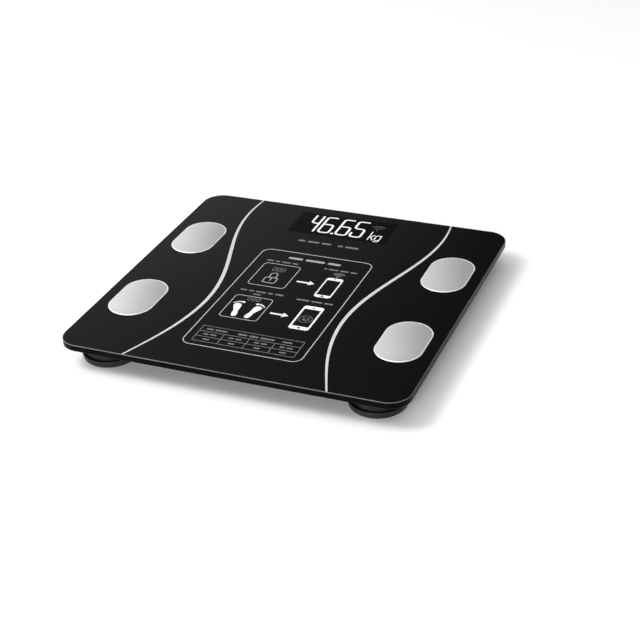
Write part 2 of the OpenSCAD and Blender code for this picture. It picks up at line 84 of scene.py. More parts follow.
class Wire:
    # One socket of a material. Sums and products of wires add their own Math nodes.
    def __init__(self, tree, socket=None):
        self.tree = tree
        self.socket = socket

    def node(self, kind, settings=None, inputs=None, output=0):
        # Any other node: its settings first, then the values or wires of its sockets
        made = self.tree.nodes.new(kind)
        for key, value in (settings or {}).items():
            setattr(made, key, value)
        for key, value in (inputs or {}).items():
            if isinstance(value, Wire):
                self.tree.links.new(value.socket, made.inputs[key])
            else:
                made.inputs[key].default_value = value
        return Wire(self.tree, made.outputs[output])

    def math(self, operation, first, second=0.0, clamp=False):
        settings = {"operation": operation, "use_clamp": clamp}
        return self.node("ShaderNodeMath", settings, {0: first, 1: second})

    def __add__(self, other):
        return self.math("ADD", self, other)

    __radd__ = __add__

    def __mul__(self, other):
        return self.math("MULTIPLY", self, other)

    __rmul__ = __mul__

    def __sub__(self, other):
        return self.math("SUBTRACT", self, other)

    def __rsub__(self, other):
        return self.math("SUBTRACT", other, self)

    def __gt__(self, other):
        return self.math("GREATER_THAN", self, other)

    def atLeast(self, low):
        return self.math("MAXIMUM", self, low)

    def held(self):
        # Kept from 0 to 1
        return self.math("ADD", self, 0.0, clamp=True)

    def between(self, low, high):
        # 0 at low, 1 at high, smooth in between
        settings = {"interpolation_type": "SMOOTHSTEP"}
        inputs = {"Value": self, "From Min": low, "From Max": high}
        return self.node("ShaderNodeMapRange", settings, inputs)

    def blendColours(self, first, second):
        # self is the share of the second colour
        inputs = {0: self, 6: first, 7: second}
        return self.node("ShaderNodeMix", {"data_type": "RGBA"}, inputs, output=2)


def colour(r, g, b):
    return (r, g, b, 1.0)


def noise(at, scale, detail=2.0, rough=0.5):
    inputs = {"Vector": at, "Scale": scale, "Detail": detail, "Roughness": rough}
    return at.node("ShaderNodeTexNoise", {}, inputs)


def stretched(at, x, y, z):
    return at.node("ShaderNodeMapping", {}, {"Vector": at, "Scale": (x, y, z)})


def makeFinish(name, shade, **fixed):
    # shade(at) gets the object coordinates and returns what varies over the surface
    material = bpy.data.materials.new(name)
    material.use_nodes = True
    tree = material.node_tree
    surface = tree.nodes["Principled BSDF"]
    for key, value in fixed.items():
        surface.inputs[key.replace("_", " ")].default_value = value
    at = Wire(tree).node("ShaderNodeTexCoord", output="Object")
    made = shade(at)
    height = made.pop("Height", None)
    if height:
        wire, depth = height
        bump = at.node("ShaderNodeBump", {}, {"Height": wire, "Strength": 1.0, "Distance": depth})
        made["Normal"] = bump
    for key, wire in made.items():
        tree.links.new(wire.socket, surface.inputs[key])
    return material


def mottled(first, second, scale, low, high, grain=0.0, grainScale=3000.0):
    # Two close colours in soft patches, roughness between low and high, and a fine grain
    def shade(at):
        patch = noise(at, scale, 3.0)
        made = {
            "Base Color": patch.between(0.35, 0.65).blendColours(colour(*first), colour(*second)),
            "Roughness": patch * (high - low) + low,
        }
        if grain:
            made["Height"] = (noise(at, grainScale, 2.0), grain)
        return made
    return shade


def glassFace(at):
    # Black print seen through polished glass, with faint wiping marks
    wipe = noise(stretched(at, 9, 3, 1), 3.0, 4.0, 0.6)
    dust = noise(at, 60.0, 2.0)
    return {
        "Base Color": dust.blendColours(colour(0.0022, 0.0023, 0.0027), colour(0.0034, 0.0034, 0.0038)),
        "Roughness": wipe * 0.08 + 0.04,
    }


def brushed(tone, low, high, depth):
    # Fine lines along Y: noise squeezed across X and drawn out along Y
    def shade(at):
        lines = noise(stretched(at, 5200, 90, 400), 1.0, 4.0, 0.65)
        broad = noise(stretched(at, 160, 25, 40), 1.0, 2.0)
        share = (lines * 0.6 + broad * 0.4).between(0.3, 0.7)
        dark = tuple(value * 0.86 for value in tone)
        return {
            "Base Color": share.blendColours(colour(*dark), colour(*tone)),
            "Roughness": share * (high - low) + low,
            "Height": (lines, depth),
        }
    return shade


def steelGrainAndPaintedSheen(at):
    # Very fine grain along Y on a painted sheen: the colour runs from near-white to dark grey across
    # each plate, as the light falls, read from the point attribute that holds each point's share across
    # the plate
    lines = noise(stretched(at, 7000, 260, 400), 1.0, 3.0, 0.6)
    paintedSheen = at.node("ShaderNodeAttribute", {"attribute_name": "paintedSheen"}, output=2)
    # Painted sheen: mostly the share across the plate, a little of the grain
    tone = (paintedSheen * 0.85 + lines * 0.15).held()
    return {
        "Base Color": tone.blendColours(colour(0.99, 0.99, 0.99), colour(0.44, 0.44, 0.45)),
        "Roughness": lines * 0.06 + 0.45,
    }


def boardMask(at):
    # Solder mask over copper: thin tracks in a grid, and bare pads
    brick = at.node("ShaderNodeTexBrick", {"offset": 0.37}, {
        "Vector": at,
        "Color1": colour(0.010, 0.110, 0.040),
        "Color2": colour(0.014, 0.150, 0.055),
        "Mortar": colour(0.030, 0.260, 0.090),
        "Scale": 170.0,
        "Mortar Size": 0.06,
    })
    speck = noise(at, 900.0, 1.0)
    return {
        "Base Color": (speck > 0.68).blendColours(brick, colour(0.55, 0.5, 0.38)),
        "Roughness": speck * 0.1 + 0.25,
    }


def stripedLead(at):
    # Three bonded cores, told apart by bands across the strip
    wave = at.node("ShaderNodeTexWave", {"wave_type": "BANDS", "bands_direction": "X"},
                   {"Vector": at, "Scale": 150.0, "Distortion": 0.0}, output=1)
    return {
        "Base Color": wave.blendColours(colour(0.5, 0.47, 0.42), colour(0.32, 0.05, 0.04)),
        "Roughness": noise(at, 400.0) * 0.1 + 0.35,
    }


def cellJacket(at):
    # Two bands round the cell, along its length
    along = at.node("ShaderNodeSeparateXYZ", {}, {0: at})
    cap = along.between(0.008, 0.0085)
    return {
        "Base Color": cap.blendColours(colour(0.02, 0.02, 0.022), colour(0.52, 0.34, 0.09)),
        "Roughness": noise(at, 500.0) * 0.08 + 0.26,
    }


def litSegment(at):
    # Backlight through the panel, a little uneven
    glow = noise(at, 90.0, 2.0)
    return {
        "Base Color": glow.blendColours(colour(0.16, 0.16, 0.16), colour(0.2, 0.2, 0.2)),
        "Emission Color": glow.blendColours(colour(0.84, 0.86, 0.88), colour(0.96, 0.97, 0.98)),
    }


# Two close tones, fineness of the patches, lowest and highest roughness, depth and fineness of a grain
mottledFinish = {
    "glassEdge": ((0.0010, 0.0014, 0.0012), (0.0018, 0.0023, 0.0020), 40, 0.16, 0.24),
    "groundArris": ((0.050, 0.051, 0.053), (0.074, 0.075, 0.077), 220, 0.34, 0.46, 0.000004),
    # The electrode rim's near-white colour is a painted highlight along the rim
    "electrodeRimPaintedHighlight": ((0.94, 0.94, 0.95), (0.99, 0.99, 0.99), 400, 0.48, 0.54),
    "springWire": ((0.66, 0.66, 0.68), (0.74, 0.74, 0.76), 900, 0.16, 0.26),
    "footPlastic": ((0.010, 0.010, 0.011), (0.015, 0.015, 0.016), 130, 0.40, 0.55, 0.000012, 2600),
    "casePlastic": ((0.007, 0.007, 0.008), (0.011, 0.011, 0.012), 90, 0.48, 0.62, 0.000016, 2200),
    "keyPlastic": ((0.050, 0.050, 0.054), (0.066, 0.066, 0.070), 200, 0.38, 0.50, 0.000008),
    "padRubber": ((0.026, 0.026, 0.027), (0.040, 0.040, 0.041), 260, 0.75, 0.90, 0.000020, 1800),
    "whitePlastic": ((0.74, 0.74, 0.71), (0.80, 0.80, 0.77), 150, 0.40, 0.52, 0.000006),
    "chipPlastic": ((0.014, 0.014, 0.016), (0.024, 0.024, 0.026), 700, 0.45, 0.60, 0.000008),
    "foamTape": ((0.68, 0.67, 0.62), (0.78, 0.77, 0.72), 900, 0.80, 0.92, 0.000030, 1500),
    "filmTape": ((0.58, 0.58, 0.55), (0.68, 0.68, 0.66), 300, 0.30, 0.45),
    "softWhite": ((0.78, 0.78, 0.76), (0.86, 0.86, 0.84), 400, 0.50, 0.65),
    "softPink": ((0.55, 0.25, 0.33), (0.68, 0.34, 0.42), 800, 0.55, 0.70),
    "ledResin": ((0.80, 0.72, 0.30), (0.88, 0.80, 0.38), 600, 0.12, 0.22),
    "coreBlue": ((0.03, 0.12, 0.36), (0.05, 0.16, 0.44), 300, 0.30, 0.42),
    "displayBlack": ((0.0020, 0.0020, 0.0026), (0.0030, 0.0030, 0.0036), 300, 0.04, 0.08),
}

# Tone, lowest and highest roughness, depth of the lines
brushedFinish = {
    "zinc": ((0.62, 0.62, 0.64), 0.28, 0.42, 0.0000020),
    "cellSteel": ((0.45, 0.46, 0.48), 0.32, 0.48, 0.0000030),
    "shield": ((0.66, 0.66, 0.68), 0.25, 0.40, 0.0000020),
    "plated": ((0.74, 0.67, 0.48), 0.22, 0.34, 0.0000015),
}

patternedFinish = {
    "glassFace": glassFace,
    "electrode": steelGrainAndPaintedSheen,
    "boardMask": boardMask,
    "leadCores": stripedLead,
    "cellJacket": cellJacket,
    "litSegment": litSegment,
}

# What is the same all over a finish
evenSettings = {
    "glassFace": dict(IOR=1.5),
    "glassEdge": dict(IOR=1.10),
    "groundArris": dict(IOR=1.5),
    "displayBlack": dict(IOR=1.2),
    "footPlastic": dict(IOR=1.3),
    "casePlastic": dict(IOR=1.3),
    "electrode": dict(Metallic=1.0),
    "electrodeRimPaintedHighlight": dict(Metallic=1.0),
    "springWire": dict(Metallic=1.0),
    "cellJacket": dict(Metallic=0.6),
    "litSegment": dict(Emission_Strength=0.86, Roughness=0.4),
}

# Printing inks under a thin clear coat: their two tones
inkCoat = dict(Coat_Weight=0.6, Coat_Roughness=0.08, Coat_IOR=1.4)
inks = {
    "silverInk": ((0.50, 0.50, 0.51), (0.57, 0.57, 0.58)),
    "whiteInk": ((0.74, 0.74, 0.74), (0.82, 0.82, 0.82)),
    "lineInk": ((0.39, 0.39, 0.40), (0.46, 0.46, 0.47)),
    "titleInk": ((0.28, 0.28, 0.29), (0.35, 0.35, 0.36)),
    "captionInk": ((0.12, 0.12, 0.125), (0.16, 0.16, 0.165)),
    "faintInk": ((0.09, 0.09, 0.094), (0.12, 0.12, 0.124)),
}

finish = {}
for name, shade in patternedFinish.items():
    finish[name] = makeFinish(name, shade, **evenSettings.get(name, {}))
for name, numbers in mottledFinish.items():
    finish[name] = makeFinish(name, mottled(*numbers), **evenSettings.get(name, {}))
for name, numbers in brushedFinish.items():
    finish[name] = makeFinish(name, brushed(*numbers), Metallic=1.0)
for name, tones in inks.items():
    finish[name] = makeFinish(name, mottled(*tones, 700, 0.38, 0.50), **inkCoat)
print("scale: finishes made")


def roundedPath(points, radius, closed=False, steps=5, guard=0.0):
    # A path of straight legs whose corners are arcs tangent to both legs. A point of an arc is the
    # sum of the spokes to its two ends, weighted by the sines of the angles still to go and done.
    # A guard point can stand just outside each end of an arc, so that flat faces shade flat.
    points = np.asarray(points, float)
    count = len(points)
    radii = np.broadcast_to(np.asarray(radius, float), (count,))
    path = []
    for i in range(count):
        here = points[i]
        if not closed and i in (0, count - 1) or radii[i] <= 0:
            path.append(here[None])
            continue
        before = points[i - 1] - here
        after = points[(i + 1) % count] - here
        legs = np.array([np.linalg.norm(before), np.linalg.norm(after)])
        u, v = before / legs[0], after / legs[1]
        half = math.acos(np.clip(u @ v, -1, 1)) / 2
        if half > math.radians(89):  # almost straight on
            path.append(here[None])
            continue
        cut = min(radii[i] / math.tan(half), 0.49 * legs.min())
        centre = here + (u + v) / np.linalg.norm(u + v) * cut / math.cos(half)
        start, end = here + u * cut - centre, here + v * cut - centre
        share = np.linspace(0, 1, steps + 1)[:, None]
        swing = math.pi - 2 * half
        arc = (np.sin((1 - share) * swing) * start + np.sin(share * swing) * end) / math.sin(swing)
        arc = centre + arc
        if guard:
            reach = np.minimum(cut + guard, 0.5 * (cut + legs * 0.5))
            arc = np.vstack([here + u * reach[0], arc, here + v * reach[1]])
        path.append(arc)
    return np.vstack(path)


def boxPath(centre, size, radius, steps=6):
    # Closed outline of a rounded rectangle, counterclockwise
    (x, y), (w, d) = centre, (size[0] / 2, size[1] / 2)
    around = [(x - w, y - d), (x + w, y - d), (x + w, y + d), (x - w, y + d)]
    return roundedPath(around, radius, True, steps)


def circlePath(centre, radius, steps=24):
    # Cosine and sine of equal turns
    turn = np.linspace(0, 2 * math.pi, steps, endpoint=False)
    return np.stack([centre[0] + radius * np.cos(turn), centre[1] + radius * np.sin(turn)], axis=1)


def ringBody(rings, loop=False):
    # Rings of equal count joined into a skin. A loop joins the last ring to the first; otherwise a fan
    # round the middle of each end ring closes the body. Faces are turned outwards by the signed volume.
    rings = np.asarray(rings, float)
    count, around = rings.shape[:2]
    i = np.arange(count if loop else count - 1)[:, None]
    j = np.arange(around)[None, :]
    onRing, onNext = i * around, (i + 1) % count * around
    j2 = (j + 1) % around
    quads = np.stack([onRing + j, onRing + j2, onNext + j2, onNext + j], axis=-1).reshape(-1, 4)
    points = rings.reshape(-1, 3)
    fans = np.zeros((0, 3), int)
    if not loop:
        low, high = np.arange(around), (count - 1) * around + np.arange(around)
        points = np.vstack([points, rings[0].mean(axis=0), rings[-1].mean(axis=0)])
        middle = np.full(around, count * around)
        fans = np.vstack([np.stack([np.roll(low, -1), low, middle], axis=1),
                          np.stack([high, np.roll(high, -1), middle + 1], axis=1)])
    triangles = np.vstack([quads[:, [0, 1, 2]], quads[:, [0, 2, 3]], fans])
    a, b, c = (points[triangles[:, k]] - points.mean(axis=0) for k in range(3))
    if np.einsum("ij,ij->", a, np.cross(b, c)) < 0:
        quads, fans = quads[:, ::-1], fans[:, ::-1]
    return points, quads, fans


def makePiece(name, bodies, finishes, body="root", replaces=(), choose=None, smooth=40):
    # Skins in millimetres become one mesh in metres. choose(centres, part) picks each face's finish
    # from the middle of the face and the number of the skin it belongs to.
    allPoints, allFaces, parts = [], [], []
    offset = 0
    for part, (points, quads, fans) in enumerate(bodies):
        allPoints.append(points)
        allFaces += (quads + offset).tolist() + (fans + offset).tolist()
        parts += [part] * (len(quads) + len(fans))
        offset += len(points)
    mesh = bpy.data.meshes.new(name)
    points = np.vstack(allPoints) * mm
    mesh.from_pydata(points.tolist(), [], allFaces)
    for material in finishes:
        mesh.materials.append(finish[material])
    if choose:
        centres = np.empty(len(allFaces) * 3, np.float32)
        mesh.polygons.foreach_get("center", centres)
        picked = choose(centres.reshape(-1, 3) / mm, np.array(parts))
        mesh.polygons.foreach_set("material_index", picked.astype(np.int32))
    mesh.polygons.foreach_set("use_smooth", np.ones(len(allFaces), bool))
    mesh.set_sharp_from_angle(angle=math.radians(smooth))
    mesh.update()
    piece = bpy.data.objects.new(name, mesh)
    bpy.context.scene.collection.objects.link(piece)
    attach(piece, body)
    if replaces:
        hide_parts(*replaces)
    return piece


def revolved(profile, centre=(0, 0), steps=96):
    # A profile of (radius, height) turned round a vertical axis: cosine and sine times the radius
    turn = np.linspace(0, 2 * math.pi, steps, endpoint=False)
    profile = np.asarray(profile)
    r, z = profile[:, 0][:, None], profile[:, 1][:, None]
    ring = np.stack([centre[0] + r * np.cos(turn), centre[1] + r * np.sin(turn), z + 0 * turn], axis=-1)
    return ringBody(ring)


def roundedSlab(size, radius, profile, centre=(0, 0), steps=16):
    # A rounded rectangle carried along a profile of (inset from the outline, height)
    rings = []
    for inset, z in profile:
        reach = max(radius - inset, 0.05)
        outline = boxPath(centre, (size[0] - 2 * inset, size[1] - 2 * inset), reach, steps)
        rings.append(np.column_stack([outline, np.full(len(outline), z)]))
    return ringBody(rings)


def span(node):
    # Lowest and highest corner of a CAD node, in millimetres
    low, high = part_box(node)
    return np.array(low) / mm, np.array(high) / mm


glass = dict(
    cornerRadius=16.0,
    arris=0.44,  # ground top edge, measured along the face
    lowArris=0.45,
    soften=0.08,  # radius of the edges between face, arris and side
    guard=0.4,
    flatReach=30.0,  # how far in the profile runs along both faces
    hair=0.004,  # heights closer than this count as the same
)


def glassPlatform():
    # Profile from the middle of the underside, round the edge, to the middle of the top:
    # low chamfer, upright edge, ground top chamfer, each corner a little rounded
    low, high = span("glass_platform")
    top, bottom = high[2], low[2]
    arris, lowArris, reach = glass["arris"], glass["lowArris"], glass["flatReach"]
    legs = [(reach, bottom), (lowArris, bottom), (0, bottom + lowArris), (0, top - arris), (arris, top),
            (reach, top)]
    profile = roundedPath(legs, glass["soften"], guard=glass["guard"], steps=3)
    body = roundedSlab(high[:2] - low[:2], glass["cornerRadius"], profile, steps=20)

    def choose(centres, part):
        height = centres[:, 2] - top
        onFace = height > -glass["hair"]
        onArris = (height > -arris - 5 * glass["hair"]) & ~onFace
        return np.where(onArris, 2, np.where(onFace, 0, 1))

    makePiece("glassPlate", [body], ["glassFace", "glassEdge", "groundArris"],
              replaces=["glass_platform"], choose=choose, smooth=60)
    return top


glassTop = glassPlatform()
print("scale: glass platform built")


electrode = dict(
    endRadius=17.4,
    wallFoot=0.12,  # upright part of the side
    wallLean=0.22,  # how far the side leans in above it
    rimWidth=0.8,
    rimDrop=0.04,
    grooveWidth=0.15,
    grooveDrop=0.09,
    crown=0.06,
    crownReach=(9.0, 15.0),
    soften=0.08,
    studRadius=1.5,
    studTip=0.3,
    paintedSheenWay=(0.92, 0.30),  # way across a plate along which its colour is painted from light to dark, a painted sheen
)


def electrodePlates():
    # A thin plate with round ends, a turned rim whose near-white colour is a painted highlight, a
    # faintly crowned face, and its stud below
    rim, radius, stud = electrode["rimWidth"], electrode["endRadius"], electrode["studRadius"]
    halfway, inmost = electrode["crownReach"]
    for corner in corners:
        node = "electrode_" + corner
        low, high = span(node)
        centre, size = (low[:2] + high[:2]) / 2, high[:2] - low[:2]
        top = high[2]
        legs = [(8, glassTop), (0.02, glassTop), (0, glassTop + electrode["wallFoot"]),
                (electrode["wallLean"], top - electrode["rimDrop"]), (rim, top - electrode["rimDrop"]),
                (rim + electrode["grooveWidth"], top - electrode["grooveDrop"]),
                (halfway, top - electrode["crown"] / 2), (inmost, top)]
        profile = roundedPath(legs, electrode["soften"], steps=2)
        face = roundedSlab(size, radius, profile, centre, steps=28)
        pin = revolved([(stud / 2, low[2]), (stud, low[2] + electrode["studTip"]),
                        (stud, glassTop + 0.05)], centre, 32)

        def choose(centres, part):
            # The rim is what lies near the outline: distance in from the round ends and sides
            shape = np.abs(centres[:, :2] - centre)
            beyond = np.maximum(shape - (size / 2 - radius), 0)
            inset = radius - np.hypot(beyond[:, 0], beyond[:, 1])
            return np.where((inset < rim + 0.05) & (part == 0), 1, 0)

        piece = makePiece("electrodePlate_" + corner, [face, pin], ["electrode", "electrodeRimPaintedHighlight"],
                          replaces=[node], choose=choose, smooth=50)
        # Painted sheen: each point's share along that way across its plate, 0 on the light side and 1 on
        # the dark, kept as a point attribute
        points = np.vstack([face[0], pin[0]])[:, :2] - centre
        along = (points @ np.array(electrode["paintedSheenWay"])) / size[0] + 0.5
        paintedSheen = piece.data.attributes.new("paintedSheen", "FLOAT", "POINT")
        paintedSheen.data.foreach_set("value", np.clip(along, 0, 1).astype(np.float32))


electrodePlates()
print("scale: electrodes built")


foot = dict(
    rimHeight=4.8,
    flare=1.1,  # how much wider the rim is than the foot of the cup
    wall=1.4,
    padSeat=0.4,  # depth and width of the step that holds the pad
    seatWidth=1.1,
    floorThick=1.6,
    stemRadius=7.6,
    headRadius=9.6,
    headFrom=5.65,
    coreRadius=3.0,
    radii=(0, 0.1, 0.1, 0.6, 0.45, 0.45, 0.5, 0.4, 0.1, 0.2, 0.3, 0),
)
pad = dict(grooves=(5, 9, 13), depth=0.35, slope=0.3, grooveWidth=1.2, coreRadius=1.5, soften=0.175)


def footCup(corner):
    # Turned profile: step for the pad, outside wall, rolled rim, inside wall and floor, stem, head
    low, high = span("foot_cup_" + corner)
    centre = (low[:2] + high[:2]) / 2
    rim = (high[0] - low[0]) / 2
    floorZ = low[2]
    cupLow, rimTop = rim - foot["flare"], floorZ + foot["rimHeight"]
    seat, seatZ = cupLow - foot["seatWidth"], floorZ + foot["padSeat"]
    inside, headZ = floorZ + foot["floorThick"], floorZ + foot["headFrom"]
    legs = [(foot["coreRadius"], seatZ), (seat, seatZ), (seat, floorZ), (cupLow, floorZ),
            (rim, rimTop), (rim - foot["wall"], rimTop), (cupLow - foot["wall"], inside),
            (foot["stemRadius"], inside), (foot["stemRadius"], headZ), (foot["headRadius"], headZ),
            (foot["headRadius"], high[2]), (foot["coreRadius"], high[2])]
    cup = revolved(roundedPath(legs, foot["radii"], guard=0.25, steps=4), centre, 128)
    makePiece("footCup_" + corner, [cup], ["footPlastic"], body="foot_" + corner,
              replaces=["foot_cup_" + corner], smooth=50)
    return centre


def footPad(corner, centre):
    # Turned profile: a round-edged disc with three shallow grooves underneath
    low, high = span("foot_pad_" + corner)
    edge = (high[0] - low[0]) / 2
    under, groove, wide = low[2], low[2] + pad["depth"], pad["grooveWidth"]
    legs = [(pad["coreRadius"], under)]
    for ring in pad["grooves"]:
        legs += [(ring, under), (ring + pad["slope"], groove), (ring + wide - pad["slope"], groove),
                 (ring + wide, under)]
    legs += [(edge, under), (edge, high[2]), (pad["coreRadius"], high[2])]
    disc = revolved(roundedPath(legs, pad["soften"], steps=2), centre, 96)
    makePiece("footPad_" + corner, [disc], ["padRubber"], body="foot_" + corner,
              replaces=["foot_pad_" + corner], smooth=50)


def feet():
    for corner in corners:
        footPad(corner, footCup(corner))


feet()
print("scale: feet built")


# Printed artwork is flat shapes of ink: each stands a little proud of the glass, by its layer
ink = dict(thick=0.03, sunk=0.005, layer=0.003)


def inkRing(edge, level):
    # A closed outline filled in, as a thin plate
    low, high = glassTop - ink["sunk"], glassTop + ink["thick"] + level * ink["layer"]
    rings = [np.column_stack([edge, np.full(len(edge), z)]) for z in (low, high)]
    return ringBody(rings)


def inkWall(one, other, level, loop):
    # Two edges of equal count, each carried from below the face of the glass to the top of the ink
    low, high = glassTop - ink["sunk"], glassTop + ink["thick"] + level * ink["layer"]
    flat = np.full(len(one), 1.0)
    section = ((one, low), (one, high), (other, high), (other, low))
    rings = np.stack([np.column_stack([edge, flat * z]) for edge, z in section], axis=1)
    return ringBody(rings, loop=loop)


def inkStroke(path, width, level=0, closed=False, blunt=False):
    # A pen line: the path's points pushed half a width to both sides along its normals.
    # width is a number or a function of the share of the length; open ends are half circles.
    path = np.asarray(path, float)
    if closed:
        ahead, behind = np.roll(path, -1, axis=0), np.roll(path, 1, axis=0)
    else:
        ahead, behind = np.vstack([path[1:], path[-1:]]), np.vstack([path[:1], path[:-1]])
    tangent = ahead - behind
    tangent /= np.linalg.norm(tangent, axis=1)[:, None]
    run = np.concatenate([[0], np.cumsum(np.linalg.norm(np.diff(path, axis=0), axis=1))])
    half = np.asarray(width(run / run[-1]) if callable(width) else np.full(len(path), width), float) / 2
    if not closed and not blunt:
        swing = np.radians([12, 35, 58, 78])
        start = path[0] - tangent[0] * half[0] * np.cos(swing)[:, None]
        end = path[-1] + tangent[-1] * half[-1] * np.cos(swing)[::-1, None]
        path = np.vstack([start, path, end])
        first, last = np.repeat(tangent[:1], 4, axis=0), np.repeat(tangent[-1:], 4, axis=0)
        tangent = np.vstack([first, tangent, last])
        half = np.concatenate([half[0] * np.sin(swing), half, half[-1] * np.sin(swing)[::-1]])
    side = np.column_stack([-tangent[:, 1], tangent[:, 0]]) * half[:, None]
    return inkWall(path + side, path - side, level, closed)


def inkOutline(outline, width, level=0):
    # A closed pen line of even width along an outline with round corners
    return inkStroke(outline, width, level, closed=True)


def printPiece(name, shapes, inkName):
    return makePiece(name, shapes, [inkName], smooth=30)


sweep = dict(
    narrow=53.4,  # half the gap between the lines at their waist
    wide=83.3,
    waistY=-40.0,
    halfWave=147.0,
    flare=0.001,
    flareY=-80.0,
    endWidth=1.2,
    midWidth=2.8,
    inset=0.6,  # the lines stop this far from the edge
)


def sweptLines():
    # Two mirror-image lines from edge to edge. Half the gap between them is a cosine wave of the
    # distance from the waist, plus a share of the square of the distance beyond flareY. Their
    # width is a half wave of sine from end to end.
    low, high = span("glass_platform")
    y = np.linspace(low[1] + sweep["inset"], high[1] - sweep["inset"], 140)
    middle, swing = (sweep["wide"] + sweep["narrow"]) / 2, (sweep["wide"] - sweep["narrow"]) / 2
    x = middle - swing * np.cos(math.pi * (y - sweep["waistY"]) / sweep["halfWave"])
    x += sweep["flare"] * np.maximum(sweep["flareY"] - y, 0) ** 2

    def width(share):
        return sweep["endWidth"] + (sweep["midWidth"] - sweep["endWidth"]) * np.sin(math.pi * share)

    for name, way in (("Left", -1), ("Right", 1)):
        line = inkStroke(np.column_stack([way * x, y]), width, blunt=True)
        printPiece("sweptLine" + name, [line], "silverInk")


window = dict(
    cornerRadius=1.2,
    inset=(1.0, 0.6),
    top=116.2,
    base=87.4,
    stroke=1.75,
    bend=2.6,  # radius of the numerals' corners
    digits="4665",
    left=(-27.5, -17.3, -2.6, 9.5),
    width=(6.3, 8.9, 8.9, 8.9),
    dot=(-5.1, 88.5),
    dotRadius=1.3,
    under=-8,  # layers by which the window lies below the inks
)
unit = dict(
    x=25.6,
    base=86.9,
    pen=0.85,
    # From (x, base): the upright, its two arms, the bowl's middle and size, and the tail
    upright=((0, 0), (0, 14.0)),
    arms=(((3.6, 8.6), (0.3, 4.6)), ((1.2, 5.7), (3.8, 0))),
    bowl=((7.2, 4.4), (4.2, 8.4)),
    tail=((9.3, 8.8), (9.3, -1.8), (5.4, -1.8)),
    bowlRadius=2.0,
    tailRadius=1.8,
)
linkOnDisplay = dict(centre=(27.6, 104.0), radii=(2.8, 5.2, 7.6), pen=0.55, spread=46)
linkOnPanel = dict(centre=(25.7, 20.9), radii=(2.2, 4.1, 6.0), pen=1.1, spread=48)

# Strokes of each numeral in a box that is 1 wide and 1 high
numerals = {
    "0": [[(0, 0), (1, 0), (1, 1), (0, 1)]],
    "4": [[(0, 1), (0, 0.52), (1, 0.52)], [(1, 1), (1, 0)]],
    "5": [[(0.92, 1), (0, 1), (0, 0.53), (1, 0.53), (1, 0), (0, 0), (0, 0.24)]],
    "6": [[(0.85, 1), (0, 1), (0, 0), (1, 0), (1, 0.53), (0, 0.53)]],
}


def writeNumeral(character, corner, size, stroke, level=0, radius=None):
    # Strokes of one numeral, scaled into a box at corner
    shapes = []
    radius = stroke if radius is None else radius
    for i, line in enumerate(numerals[character]):
        path = np.array(corner) + np.array(line) * np.array(size)
        closed = character == "0"
        path = roundedPath(path, radius, closed)
        shapes.append(inkStroke(path, stroke, level + i, closed=closed))
    return shapes


def displayWindow():
    low, high = span("display_panel")
    centre, size = (low[:2] + high[:2]) / 2, high[:2] - low[:2] - 2 * np.array(window["inset"])
    edge = boxPath(centre, size, window["cornerRadius"])
    makePiece("displayWindow", [inkRing(edge, window["under"])], ["displayBlack"],
              smooth=30)

    stroke = window["stroke"]
    height = window["top"] - window["base"] - stroke
    shapes = [inkRing(circlePath(window["dot"], window["dotRadius"]), 1)]
    for character, left, width in zip(window["digits"], window["left"], window["width"]):
        shapes += writeNumeral(character, (left, window["base"] + stroke / 2), (width, height), stroke,
                               radius=window["bend"])
    makePiece("displayDigits", shapes, ["litSegment"], smooth=30)

    # Small unit beside the numerals: an upright with two arms, and a bowl with a tail
    start, pen = np.array((unit["x"], unit["base"])), unit["pen"]
    middle, size = unit["bowl"]
    shapes = [inkStroke(start + unit["upright"], pen, 0)]
    shapes += [inkStroke(start + arm, pen, level) for level, arm in enumerate(unit["arms"], 1)]
    shapes.append(inkOutline(boxPath(start + middle, size, unit["bowlRadius"]), pen, 0))
    shapes.append(inkStroke(roundedPath(start + unit["tail"], unit["tailRadius"]), pen, 1))
    makePiece("displayUnit", shapes, ["litSegment"], smooth=30)

    printPiece("linkSign", linkArcs(**linkOnDisplay), "faintInk")


def linkArcs(centre, radii, pen, spread):
    # Sign for the wireless link: arcs of growing radius over a dot
    turn = np.radians(np.linspace(90 - spread, 90 + spread, 17))
    shapes = [inkRing(circlePath(centre, pen), 0)]
    for radius in radii:
        shapes.append(inkStroke(np.column_stack([centre[0] + radius * np.cos(turn),
                                                 centre[1] + radius * np.sin(turn)]), pen))
    return shapes


def wordBars(left, right, y, height, words):
    # A line of blank words: bars whose lengths follow the given shares, with even gaps
    words = np.array(words, float)
    gap = height * 0.75
    lengths = words / words.sum() * (right - left - gap * (len(words) - 1))
    shapes = []
    start = left
    for length in lengths:
        shapes.append(inkStroke([(start + height / 2, y), (start + length - height / 2, y)], height))
        start += length + gap
    return shapes


panel = dict(halfWidth=45.2, top=48.9, bottom=-101.9, cornerRadius=7.0, pen=0.74)
cards = dict(left=-35.5, right=-5.8, radius=3.0, pen=0.6, rows=((26.8, -8.5), (-26.4, -59.4)))
# Left and right end, height on the glass, height of the bars, and the lengths of the blank words
titleLine = (-21.5, 21.5, 39.4, 3.0, (9, 12, 8))
captionLines = (
    (-36.3, -10.0, 31.2, 1.9, (5, 3, 6, 4)),
    (12.0, 38.0, 30.8, 1.9, (1, 6, 5, 4)),
    (-36.5, -1.5, -18.2, 1.9, (4, 3, 6, 3, 5)),
    (-24.2, -18.0, -22.4, 1.7, (1,)),
    (9.3, 38.0, -19.8, 1.9, (6, 5, 4)),
    (-26.0, 2.0, 69.8, 2.5, (3, 5, 4)),
    (7.5, 25.0, 69.4, 2.5, (2, 5)),
)
# Small readout on each card: lower left corner and height of its three zeros
readout = dict(places=((-25.4, 16.0, 5.4), (-24.6, -32.3, 3.8)), pitch=3.6, width=2.2, pen=0.7,
               bend=0.8)


def barsOf(lines):
    return [bar for line in lines for bar in wordBars(*line)]


